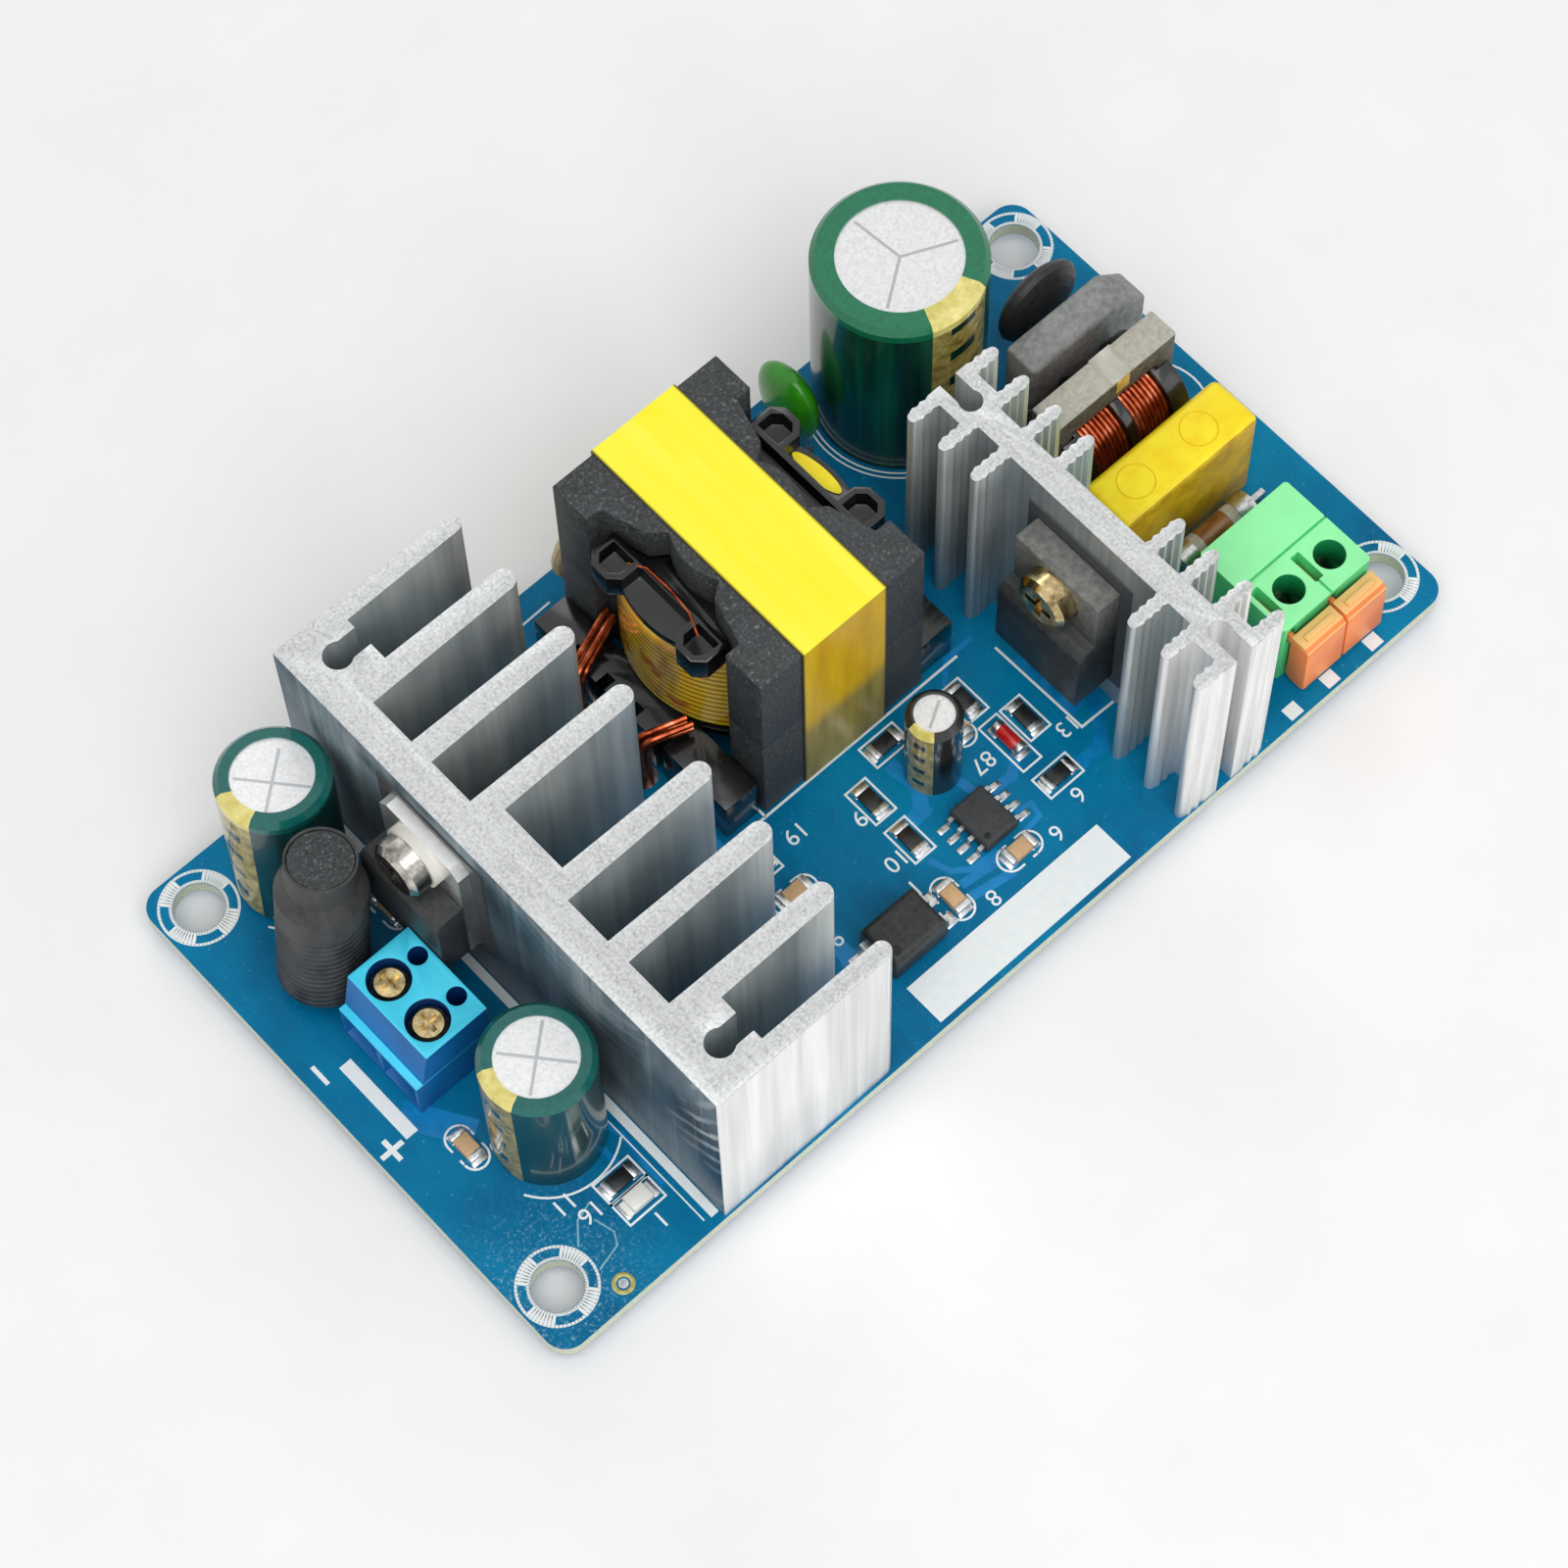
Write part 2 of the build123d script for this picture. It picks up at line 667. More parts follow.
# Tab package on the output heatsink
def rectifier_tab():
    back = DC_SINK_X - PAD_T
    front = back - RECT_TAB_T
    half = RECT_W / 2
    low = RECT_TOP - RECT_TAB_H - RECT_BODY_H
    cut = RECT_TAB_CUT
    outline = (
        (RECT_Y - half, low),
        (RECT_Y + half, low),
        (RECT_Y + half, RECT_TOP - cut),
        (RECT_Y + half - cut, RECT_TOP),
        (RECT_Y - half + cut, RECT_TOP),
        (RECT_Y - half, RECT_TOP - cut),
    )
    hole = Rot(0, 90, 0) * Cylinder(RECT_HOLE_R, 3 * RECT_TAB_T)
    return along_x(outline, front, back) - Pos(front, RECT_Y, RECT_SCREW_Z) * hole


def rectifier_body():
    back = DC_SINK_X - PAD_T - RECT_TAB_T
    front = DC_SINK_X - PAD_T - RECT_BODY_T
    high = RECT_TOP - RECT_TAB_H
    low = high - RECT_BODY_H
    bevel = RECT_TAB_CUT / 2
    outline = (
        (back, low),
        (back, high),
        (front + bevel, high),
        (front, high - bevel),
        (front, low + bevel),
        (front + bevel, low),
    )
    return along_y(outline, RECT_Y - RECT_W / 2, RECT_Y + RECT_W / 2)


def rectifier_pad():
    half = RECT_W / 2 + RECT_PAD_MARGIN_Y
    low = RECT_TOP - RECT_TAB_H - RECT_BODY_H - RECT_PAD_BELOW
    pad = span(DC_SINK_X - PAD_T, DC_SINK_X, RECT_Y - half, RECT_Y + half, low, RECT_TOP + RECT_PAD_ABOVE)
    hole = Rot(0, 90, 0) * Cylinder(DEVICE_SCREW_R + BUSH_SLEEVE_T, 4 * PAD_T)
    return pad - Pos(DC_SINK_X, RECT_Y, RECT_SCREW_Z) * hole


def rectifier_bushing():
    sleeve_r = DEVICE_SCREW_R + DEVICE_SCREW_GAP + BUSH_SLEEVE_T
    flange = Pos(0, 0, BUSH_FLANGE_T / 2) * Cylinder(BUSH_FLANGE_R, BUSH_FLANGE_T)
    sleeve = Pos(0, 0, -RECT_TAB_T / 2) * Cylinder(sleeve_r, RECT_TAB_T)
    bore = Cylinder(DEVICE_SCREW_R + DEVICE_SCREW_GAP, 4 * RECT_TAB_T)
    place = Pos(DC_SINK_X - PAD_T - RECT_TAB_T, RECT_Y, RECT_SCREW_Z)
    return place * Rot(0, -90, 0) * (flange + sleeve - bore)


def rectifier_screw():
    seat = DC_SINK_X - PAD_T - RECT_TAB_T - BUSH_FLANGE_T
    length = DC_SINK_X + DC_SPINE_T - seat + 1.0
    screw = pan_screw(DEVICE_HEAD_R, DEVICE_HEAD_H, DEVICE_SCREW_R, length)
    return Pos(seat, RECT_Y, RECT_SCREW_Z) * Rot(0, -90, 0) * screw


# Full-pack transistor on the mains heatsink
def transistor_body():
    back = AC_FACE - PAD_T
    low = FET_TOP - FET_H
    step = FET_TOP - FET_HEAD_H
    outline = (
        (back, low),
        (back, FET_TOP),
        (back - FET_HEAD_T, FET_TOP),
        (back - FET_HEAD_T, step),
        (back - FET_BODY_T + FET_BEVEL, step),
        (back - FET_BODY_T, step - FET_BEVEL),
        (back - FET_BODY_T, low),
    )
    hole = Rot(0, 90, 0) * Cylinder(FET_HOLE_R, 4 * FET_HEAD_T)
    body = along_y(outline, FET_Y - FET_W / 2, FET_Y + FET_W / 2)
    return body - Pos(back, FET_Y, FET_SCREW_Z) * hole


def transistor_pad():
    half = FET_W / 2 + FET_PAD_MARGIN_Y
    low = FET_TOP - FET_H - FET_PAD_BELOW
    pad = span(AC_FACE - PAD_T, AC_FACE, FET_Y - half, FET_Y + half, low, FET_TOP + FET_PAD_ABOVE)
    hole = Rot(0, 90, 0) * Cylinder(FET_HOLE_R, 4 * PAD_T)
    return pad - Pos(AC_FACE, FET_Y, FET_SCREW_Z) * hole


def transistor_screw():
    seat = AC_FACE - PAD_T - FET_HEAD_T
    length = AC_SINK_X + AC_SPINE_T / 2 - seat
    screw = pan_screw(DEVICE_HEAD_R, DEVICE_HEAD_H, DEVICE_SCREW_R, length)
    return Pos(seat, FET_Y, FET_SCREW_Z) * Rot(0, -90, 0) * screw


def device_leads():
    rect_low = RECT_TOP - RECT_TAB_H - RECT_BODY_H
    fet_low = FET_TOP - FET_H
    half_t = DEVICE_LEAD_T / 2
    leads = []
    for pins, low in ((RECT_PINS, rect_low), (FET_PINS, fet_low)):
        for x, y, width in pins:
            leads.append(span(x - half_t, x + half_t, y - width / 2, y + width / 2, -TAIL, low))
    return group(leads)


# Ferrite core half: plate, centre post and two outer legs
def core_outline():
    quarter = (
        (CORE_W / 2, CORE_L / 2),
        (CORE_W / 2, CORE_LEG_Y),
        (CORE_SHOULDER, CORE_LEG_Y),
        (CORE_NECK_X, CORE_NECK_Y),
        (CORE_WAIST, CORE_WAIST_Y),
    )
    right = list(quarter) + [(x, -y) for x, y in reversed(quarter)]
    left = [(-x, y) for x, y in reversed(right)]
    return flat(right + left)


def core_half():
    outline = core_outline()
    half = raised(outline, 0, CORE_PLATE_T)
    half += raised(outline - Circle(CORE_WINDOW_R), 0, CORE_HALF_H)
    return half + raised(Circle(CORE_POST_R), 0, CORE_HALF_H)


def core_lower():
    return Pos(TX_X, TX_Y, CORE_Z) * core_half()


def core_upper():
    return Pos(TX_X, TX_Y, CORE_TOP) * Rot(180, 0, 0) * core_half()


def core_tape():
    outer = Rectangle(CORE_L + 2 * CORE_TAPE_T, CORE_TOP - CORE_Z + 2 * CORE_TAPE_T)
    inner = Rectangle(CORE_L, CORE_TOP - CORE_Z)
    ring = extrude(Plane.YZ * (outer - inner), amount=CORE_TAPE_W / 2, both=True)
    return Pos(TX_X, TX_Y, (CORE_TOP + CORE_Z) / 2) * ring


# Bobbin: tube, two flanges, wire lobes above and pin rails below
def bobbin_flange():
    flange = Circle(BOBBIN_FLANGE_R)
    lobe = chamfer((Pos(LOBE_REACH / 2) * Rectangle(LOBE_REACH, LOBE_W)).vertices().group_by(Axis.X)[-1],
                   LOBE_CUT)
    for sx in (0, 180):
        for sy in (-1, 1):
            flange += Pos(0, sy * LOBE_Y) * Rot(0, 0, sx) * lobe
    return flange


# Wire guides on the upper flange: a rib beside the core and a pocket on each lobe
def bobbin_guides():
    reach = LOBE_REACH - GUIDE_X
    middle = GUIDE_X + reach / 2
    outer = chamfer(Rectangle(reach, LOBE_W).vertices().group_by(Axis.X)[-1], LOBE_CUT)
    inner = chamfer(Rectangle(reach - 2 * GUIDE_T, LOBE_W - 2 * GUIDE_T).vertices().group_by(Axis.X)[-1],
                    LOBE_CUT - GUIDE_T / 2)
    guides = Pos(GUIDE_X + GUIDE_T / 2) * Rectangle(GUIDE_T, 2 * LOBE_Y)
    for sy in (-1, 1):
        guides += Pos(middle, sy * LOBE_Y) * (outer - inner)
    return guides + Rot(0, 0, 180) * guides


def transformer_bobbin():
    bore = CORE_POST_R + BOBBIN_GAP
    low = WINDOW_LOW + BOBBIN_GAP
    high = WINDOW_HIGH - BOBBIN_GAP
    body = raised(Circle(bore + BOBBIN_WALL), low, high)
    body += raised(Circle(BOBBIN_FLANGE_R), low, low + BOBBIN_FLANGE_T)
    body += raised(bobbin_flange(), high - BOBBIN_FLANGE_T, high)
    body += raised(bobbin_guides(), high, high + GUIDE_RISE)
    rail = span(RAIL_X, RAIL_X + RAIL_T, -RAIL_HALF_L, RAIL_HALF_L, TOP + SEAT, low + BOBBIN_FLANGE_T)
    for i in range(TX_PIN_COUNT - 1):
        y = TX_PIN_PITCH * (i - (TX_PIN_COUNT - 2) / 2)
        outer = RAIL_X + RAIL_T
        rail -= span(outer - RAIL_SLOT_D, outer, y - RAIL_SLOT_W / 2, y + RAIL_SLOT_W / 2, 0, CORE_TOP)
    for _, y, width in pins_along_y(0, 0, TX_PIN_COUNT, TX_PIN_PITCH, TX_PIN_W + 2 * SOLDER_GAP):
        rail -= lead((TX_PIN_X, y, width), TOP + SEAT + TX_PIN_GRIP, 0)
    body += rail + Rot(0, 0, 180) * rail
    return Pos(TX_X, TX_Y) * (body - raised(Circle(bore), 0, CORE_TOP))


def transformer_pins():
    return group([lead(pin, TOP + SEAT + TX_PIN_GRIP) for pin in TX_PINS])


def transformer_winding():
    inner = CORE_POST_R + BOBBIN_GAP + BOBBIN_WALL + COIL_GAP
    low = WINDOW_LOW + BOBBIN_GAP + BOBBIN_FLANGE_T + COIL_GAP
    high = WINDOW_HIGH - BOBBIN_GAP - BOBBIN_FLANGE_T - COIL_GAP
    section = Pos((inner + COIL_R) / 2, (low + high) / 2) * Rectangle(COIL_R - inner, high - low)
    section = chamfer(section.vertices().group_by(Axis.X)[-1], COIL_BEVEL)
    return Pos(TX_X, TX_Y) * revolve(Plane.XZ * section, axis=Axis.Z)


# Bundles of copper strands from the winding over the pin rail to the board
def strand(start, foot_x, foot_y, over_z):
    path = FilletPolyline(start, (foot_x, foot_y, over_z), (foot_x, foot_y, 0), radius=STRAND_BEND)
    return sweep(Plane(path @ 0, z_dir=path % 0) * RegularPolygon(STRAND_R, STRAND_SIDES), path=path)


def winding_ends():
    strands = []
    for exit_y, foot_y in zip(STRAND_EXIT_Y, STRAND_FOOT_Y):
        reach = math.sqrt((COIL_R + STRAND_EXIT_GAP) ** 2 - exit_y ** 2)
        for dy in (-STRAND_SPREAD, STRAND_SPREAD):
            for dz in (-STRAND_SPREAD, STRAND_SPREAD):
                start = (TX_X - reach, TX_Y + exit_y + dy, STRAND_EXIT_Z + dz)
                strands.append(strand(start, STRAND_FOOT_X - dz, foot_y + dy, STRAND_OVER_Z + dz))
    return group(strands)


# Electrolytic capacitor made standing on z = 0, in the order can, sleeve, bung
def can_parts(r, height, pins, lead_gap):
    inner = r - SLEEVE_T
    groove = BUNG_H + CRIMP_H
    can = lathe((
        (0, BUNG_H),
        (inner, BUNG_H),
        (inner, groove),
        (inner - CRIMP_D, groove + CRIMP_D),
        (inner, groove + 2 * CRIMP_D),
        (inner, height - SLEEVE_T - CRIMP_D),
        (inner - CRIMP_D, height - SLEEVE_T),
        (0, height - SLEEVE_T),
    ))
    lip = r * SLEEVE_LIP
    sleeve = lathe((
        (inner, 0),
        (r, 0),
        (r, height - CRIMP_D - SLEEVE_T),
        (r - CRIMP_D - SLEEVE_T / 2, height),
        (lip, height),
        (lip, height - SLEEVE_T),
        (inner - CRIMP_D, height - SLEEVE_T),
        (inner, height - SLEEVE_T - CRIMP_D),
    ))
    bung = Pos(0, 0, BUNG_H / 2 + SEAT / 2) * Cylinder(inner - CRIMP_D, BUNG_H - SEAT)
    for x, y, width in pins:
        bung -= Pos(x, y) * Cylinder(width * math.sqrt(2) / 2 + lead_gap, 4 * BUNG_H)
    return can, sleeve, bung


def local_pins(pins, x, y):
    return [(px - x, py - y, width) for px, py, width in pins]


def bulk_parts():
    height = BULK_TOP - TOP
    parts = can_parts(BULK_R, height, local_pins(BULK_PINS, BULK_X, BULK_Y), BUNG_LEAD_GAP)
    return [Pos(BULK_X, BULK_Y, TOP) * part for part in parts]


def output_parts():
    height = OUT_TOP - TOP - SEAT
    upright = can_parts(OUT_R, height, local_pins(OUT_B_PINS, OUT_B_X, OUT_B_Y), BUNG_LEAD_GAP)
    leaning = can_parts(OUT_R, height, local_pins(OUT_A_PINS, OUT_A_X, OUT_A_Y), BUNG_LEAD_GAP)
    lean = Rot(0, 0, OUT_A_LEAN_TO) * Rot(0, OUT_A_LEAN, 0) * Rot(0, 0, -OUT_A_LEAN_TO)
    place_a = Pos(OUT_A_X, OUT_A_Y, TOP + OUT_A_LIFT) * lean
    place_b = Pos(OUT_B_X, OUT_B_Y, TOP)
    return [(place_a * a, place_b * b) for a, b in zip(leaning, upright)]


def small_parts():
    height = SMALL_TOP - TOP
    parts = can_parts(SMALL_R, height, local_pins(SMALL_PINS, SMALL_X, SMALL_Y), BUNG_LEAD_GAP)
    return [Pos(SMALL_X, SMALL_Y, TOP) * part for part in parts]


def capacitor_leads():
    return group([lead(pin, TOP + SEAT + BUNG_H / 2) for pin in CAP_PINS])


# Rod inductor: ferrite rod, coil and shrink sleeve on one leaning axis
def rod_place():
    lean = Rot(0, 0, ROD_LEAN_TO) * Rot(0, ROD_LEAN, 0) * Rot(0, 0, -ROD_LEAN_TO)
    return Pos(ROD_X, ROD_Y, TOP + ROD_LIFT) * lean


def inductor_rod():
    return rod_place() * Pos(0, 0, ROD_LEN / 2) * Cylinder(ROD_R, ROD_LEN)


def inductor_coil():
    coil = Pos(0, 0, ROD_COIL_LOW + ROD_COIL_LEN / 2) * Cylinder(ROD_COIL_R, ROD_COIL_LEN)
    bore = Pos(0, 0, ROD_LEN / 2) * Cylinder(ROD_R + COIL_GAP, 2 * ROD_LEN)
    return rod_place() * (coil - bore)


def inductor_sleeve():
    gap = COIL_GAP
    wall = ROD_SLEEVE_T
    coil_top = ROD_COIL_LOW + ROD_COIL_LEN + gap
    neck = ROD_R + gap
    belly = ROD_COIL_R + gap
    neck_z = coil_top + ROD_SLEEVE_SHOULDER
    sleeve = lathe((
        (belly, ROD_COIL_LOW - gap), (belly, coil_top), (neck, neck_z), (neck, ROD_LEN + gap),
        (neck + wall, ROD_LEN + gap), (neck + wall, neck_z + wall), (belly + wall, coil_top + wall / 2),
        (belly + wall, ROD_COIL_LOW - gap),
    ))
    return rod_place() * sleeve


# Screw terminal housing with wells, test holes and wire rooms
def dc_terminal_housing():
    half = DCT_PITCH + DCT_END
    outline = (
        (DCT_BACK, TOP), (DCT_BACK, DCT_TOP), (DCT_TOP_FRONT, DCT_TOP), (DCT_FRONT + DCT_LEDGE, DCT_LEDGE_Z),
        (DCT_FRONT, DCT_LEDGE_Z), (DCT_FRONT, TOP),
    )
    body = along_y(outline, DCT_Y - half, DCT_Y + half)
    shelf = DCT_WELL_FLOOR - DCT_SHELF_T
    for y in DCT_POLES:
        body -= post(DCT_SCREW_X, y, DCT_WELL_FLOOR, 2 * DCT_TOP, DCT_WELL_R)
        body -= post(DCT_SCREW_X, y, TOP, DCT_TOP, DCT_SHANK_R + DCT_SHANK_GAP)
        body -= post(DCT_TEST_X, y, DCT_TEST_FLOOR, 2 * DCT_TOP, DCT_TEST_R)
        w = DCT_ROOM_W / 2
        body -= span(2 * DCT_FRONT, DCT_ROOM_BACK, y - w, y + w, TOP + DCT_FLOOR, DCT_LEDGE_Z - DCT_FLOOR)
        body -= span(DCT_SCREW_X - w, DCT_ROOM_BACK, y - w, y + w, TOP + DCT_FLOOR, shelf)
        tail = DCT_TAIL_T / 2 + SOLDER_GAP
        wide = DCT_PLATE_W / 2 + SOLDER_GAP
        plate_top = DCT_PLATE_Z + DCT_PLATE_T
        body -= span(DCT_ROOM_BACK - tail, DCT_TAIL_X + tail, y - wide, y + wide, 0, plate_top + SOLDER_GAP)
    return body


# Contact plate over the wire, bent down into the tail
def dc_contact(pole_y):
    low_x = DCT_TAIL_X - DCT_TAIL_T / 2
    high_x = DCT_TAIL_X + DCT_TAIL_T / 2
    top = DCT_PLATE_Z + DCT_PLATE_T
    outline = (
        (DCT_PLATE_FRONT, DCT_PLATE_Z), (DCT_PLATE_FRONT, top), (high_x, top), (high_x, TOP), (low_x, TOP),
        (low_x, DCT_PLATE_Z),
    )
    plate = along_y(outline, pole_y - DCT_PLATE_W / 2, pole_y + DCT_PLATE_W / 2)
    tail = span(low_x, high_x, pole_y - DCT_TAIL_W / 2, pole_y + DCT_TAIL_W / 2, -TAIL, TOP)
    return plate + tail


def dc_terminal_contacts():
    return group([dc_contact(y) for y in DCT_POLES])


def dc_screw(pole_y):
    screw = pan_screw(DCT_HEAD_R, DCT_HEAD_H, DCT_SHANK_R, DCT_WELL_FLOOR - DCT_SHANK_END)
    return Pos(DCT_SCREW_X, pole_y, DCT_WELL_FLOOR) * screw


# Rising clamp: a rectangular frame round the contact plate, carried by the screw
def dc_clamp(pole_y):
    half_w = CLAMP_W / 2
    half_d = CLAMP_D / 2
    frame = span(-half_d, half_d, -half_w, half_w, CLAMP_BOTTOM, CLAMP_TOP)
    inner = half_w - CLAMP_WALL
    frame -= span(-CLAMP_D, CLAMP_D, -inner, inner, CLAMP_BOTTOM + CLAMP_BRIDGE, CLAMP_TOP - CLAMP_BRIDGE)
    frame -= post(0, 0, CLAMP_TOP - 2 * CLAMP_BRIDGE, 2 * CLAMP_TOP, DCT_SHANK_R + DCT_SHANK_GAP)
    return Pos(DCT_SCREW_X, pole_y) * frame


# Spring terminal housing: wire holes, release slots, finger slots, rooms and hinge ears
def ac_ear(pole_x):
    foot = PIVOT_Z - EAR_R
    head = foot + 2 * EAR_R
    web = flat(((ACT_FRONT, foot), (PIVOT_Y, foot), (PIVOT_Y, head), (ACT_FRONT, head)))
    eye = Circle(EAR_R) - Circle(PIVOT_R + PIVOT_GAP)
    profile = web - Pos(PIVOT_Y, PIVOT_Z) * Circle(EAR_R) + Pos(PIVOT_Y, PIVOT_Z) * eye
    return Pos(pole_x, 0, 0) * extrude(Plane.YZ * profile, amount=EAR_W / 2, both=True)


def ac_terminal_housing():
    body = span(ACT_X0, ACT_X1, ACT_FRONT, ACT_BACK, TOP, ACT_TOP)
    body = chamfer(body.edges().filter_by(Axis.Z), ACT_SEAM)
    for x in ACT_POLE_X:
        body += ac_ear(x)
    for x in ACT_POLE_X:
        w = ACT_ROOM_W / 2
        body -= post(x, ACT_WIRE_Y, ACT_WIRE_FLOOR - 1, 2 * ACT_TOP, ACT_WIRE_R)
        body -= span(x - w, x + w, ACT_ROOM_FRONT, ACT_ROOM_BACK, 0, ACT_WIRE_FLOOR)
        s = x + ACT_SLOT_SHIFT
        half = ACT_SLOT_W / 2
        low = ACT_FINGER_LOW - ACT_FINGER_GAP
        high = ACT_FINGER_HIGH + 2 * ACT_FINGER_GAP
        body -= span(s - half, s + half, ACT_FRONT - 1, ACT_SLOT_BACK, low, high)
        body -= span(s - half, s + half, ACT_SLOT_END, ACT_SLOT_BACK, low, 2 * ACT_TOP)
    middle = (ACT_POLE_X[0] + ACT_POLE_X[1]) / 2
    seam = ACT_SEAM / 2
    floor = ACT_TOP - ACT_SEAM
    body -= span(middle - seam, middle + seam, ACT_FRONT, ACT_SLOT_BACK, floor, 2 * ACT_TOP)
    return body - span(ACT_X0, ACT_X1, ACT_SEAM_Y - seam, ACT_SEAM_Y + seam, floor, 2 * ACT_TOP)


# Lever: slanted front, grip pads on top, notch and pin for the ear, finger into the housing
def ac_lever(pole_x):
    outline = (
        (LEVER_BACK - LEVER_STEP, LEVER_BOTTOM),
        (LEVER_BACK, LEVER_BOTTOM + LEVER_STEP),
        (LEVER_BACK, LEVER_TOP),
        (LEVER_FRONT + LEVER_STEP, LEVER_TOP),
        (LEVER_FRONT, LEVER_TOP - LEVER_STEP),
        (LEVER_TOE, LEVER_BOTTOM + LEVER_TOE_CUT),
        (LEVER_TOE + LEVER_TOE_CUT, LEVER_BOTTOM),
    )
    half = LEVER_W / 2
    middle = pole_x + LEVER_SHIFT
    body = along_x(outline, middle - half, middle + half)
    room = EAR_W / 2 + EAR_ROOM
    reach = PIVOT_Y - EAR_R - EAR_ROOM
    top = PIVOT_Z + EAR_R + 2 * EAR_ROOM
    body -= span(pole_x - room, pole_x + room, reach, 0, 0, top)
    pin = Pos(pole_x, PIVOT_Y, PIVOT_Z) * Rot(0, 90, 0) * Cylinder(PIVOT_R, 2 * room + EAR_R)
    slot_x = pole_x + ACT_SLOT_SHIFT
    f = ACT_FINGER_W / 2
    root = LEVER_BACK - LEVER_STEP
    finger = span(slot_x - f, slot_x + f, root, ACT_FINGER_END, ACT_FINGER_LOW, ACT_FINGER_HIGH)
    g = LEVER_GRIP_W / 2
    low = LEVER_FRONT + LEVER_GRIP_INSET
    high = LEVER_BACK - LEVER_GRIP_INSET
    grip = span(middle - g, middle + g, low, high, LEVER_TOP, LEVER_TOP + LEVER_GRIP_T)
    return body + pin + finger + grip


# Clamp spring: tail, back leg and a hairpin that presses the wire
def ac_spring(pole_x):
    path = Polyline(
        (SPRING_TAIL_Y, TOP + SEAT),
        (SPRING_TAIL_Y, SPRING_BACK_Z),
        (SPRING_TAIL_Y - SPRING_CREST, SPRING_CREST_Z),
        (SPRING_TAIL_Y - SPRING_REACH, SPRING_END_Z),
    )
    strip = extrude(Plane.YZ * trace(path, SPRING_T), amount=SPRING_W / 2, both=True)
    return Pos(pole_x, 0, 0) * strip + lead((pole_x, SPRING_TAIL_Y, SPRING_TAIL_W), TOP + SEAT)


def ac_terminal_springs():
    return group([ac_spring(x) for x in ACT_POLE_X])


def x_capacitor():
    half_l = XCAP_L / 2
    half_w = XCAP_W / 2
    box = span(XCAP_X - half_l, XCAP_X + half_l, XCAP_Y - half_w, XCAP_Y + half_w, TOP, XCAP_TOP)
    box = chamfer(box.edges().filter_by(Axis.Z) + box.edges().group_by(Axis.Z)[-1], XCAP_ROUND)
    for pin in XCAP_PINS:
        box -= lead((pin[0], pin[1], pin[2] + 2 * SOLDER_GAP), TOP + PIN_GRIP, 0)
    return box


# Common mode choke: ferrite ring standing on edge, drum bobbin on its lower leg, two windings
def choke_ring(gap):
    window_l = CHOKE_L - 2 * CHOKE_END_LEG - 2 * gap
    window_h = CHOKE_H - 2 * CHOKE_LEG - 2 * gap
    outline = Rectangle(CHOKE_L + 2 * gap, CHOKE_H + 2 * gap) - Rectangle(window_l, window_h)
    ring = extrude(Plane.XZ * outline, amount=CHOKE_LEG / 2 + gap, both=True)
    return Pos(CHOKE_X, CHOKE_Y, CHOKE_TOP - CHOKE_H / 2) * ring


def choke_core():
    return choke_ring(0)


def choke_drum(x0, x1, r):
    return Pos(CHOKE_X + (x0 + x1) / 2, CHOKE_Y, CHOKE_LOW_Z) * Rot(0, 90, 0) * Cylinder(r, x1 - x0)


def choke_bobbin():
    end = CHOKE_DRUM_L / 2
    inner = end - CHOKE_END_L
    half_w = CHOKE_FOOT_W / 2
    body = choke_drum(-end, end, CHOKE_TUBE_R)
    body += choke_drum(-CHOKE_FLANGE_T / 2, CHOKE_FLANGE_T / 2, CHOKE_FLANGE_R)
    body += span(CHOKE_X - end, CHOKE_X + end, CHOKE_Y - half_w, CHOKE_Y + half_w, TOP + SEAT,
                 TOP + CHOKE_FOOT_H)
    for side in (-1, 1):
        x0, x1 = sorted((side * inner, side * end))
        body += choke_drum(x0, x1, CHOKE_FLANGE_R)
        body += span(CHOKE_X + x0, CHOKE_X + x1, CHOKE_Y - half_w, CHOKE_Y + half_w, TOP + SEAT, CHOKE_LOW_Z)
    body -= choke_ring(CHOKE_CORE_GAP)
    for x, y, width in CHOKE_PINS:
        body -= lead((x, y, width + 2 * SOLDER_GAP), TOP + PIN_GRIP, 0)
    return body


def choke_windings():
    near = CHOKE_FLANGE_T / 2 + CHOKE_COIL_GAP
    far = CHOKE_DRUM_L / 2 - CHOKE_END_L - CHOKE_COIL_GAP
    bore = choke_drum(-far, far, CHOKE_TUBE_R + CHOKE_COIL_GAP)
    return group([choke_drum(x0, x1, CHOKE_COIL_R) - bore for x0, x1 in ((near, far), (-far, -near))])


def bridge_rectifier():
    low_x = BRIDGE_X - BRIDGE_L / 2
    high_x = BRIDGE_X + BRIDGE_L / 2
    outline = (
        (low_x, BRIDGE_BOTTOM), (high_x, BRIDGE_BOTTOM), (high_x, BRIDGE_TOP - BRIDGE_CUT),
        (high_x - BRIDGE_CUT, BRIDGE_TOP), (low_x, BRIDGE_TOP),
    )
    body = along_y(outline, BRIDGE_Y - BRIDGE_T / 2, BRIDGE_Y + BRIDGE_T / 2)
    return chamfer(body.edges().group_by(Axis.Y)[-1] + body.edges().group_by(Axis.Y)[0], BRIDGE_ROUND)


# Dipped disc, thick in the middle and thin at the rim, closed round its leads
def coated_disc(r, thickness):
    half = thickness / 2
    turns = [math.pi * (i / DISC_STEPS - 0.5) for i in range(1, DISC_STEPS)]
    rim = [(r * math.cos(turn), half * math.sin(turn)) for turn in turns]
    return Rot(90, 0, 0) * lathe([(0, -half)] + rim + [(0, half)])


def dip_grip(centre_z, half_h):
    return centre_z - DIP_GRIP * half_h


def dipped(body, pins, grip):
    for pin in pins:
        body -= lead(pin, grip, 0)
    return body


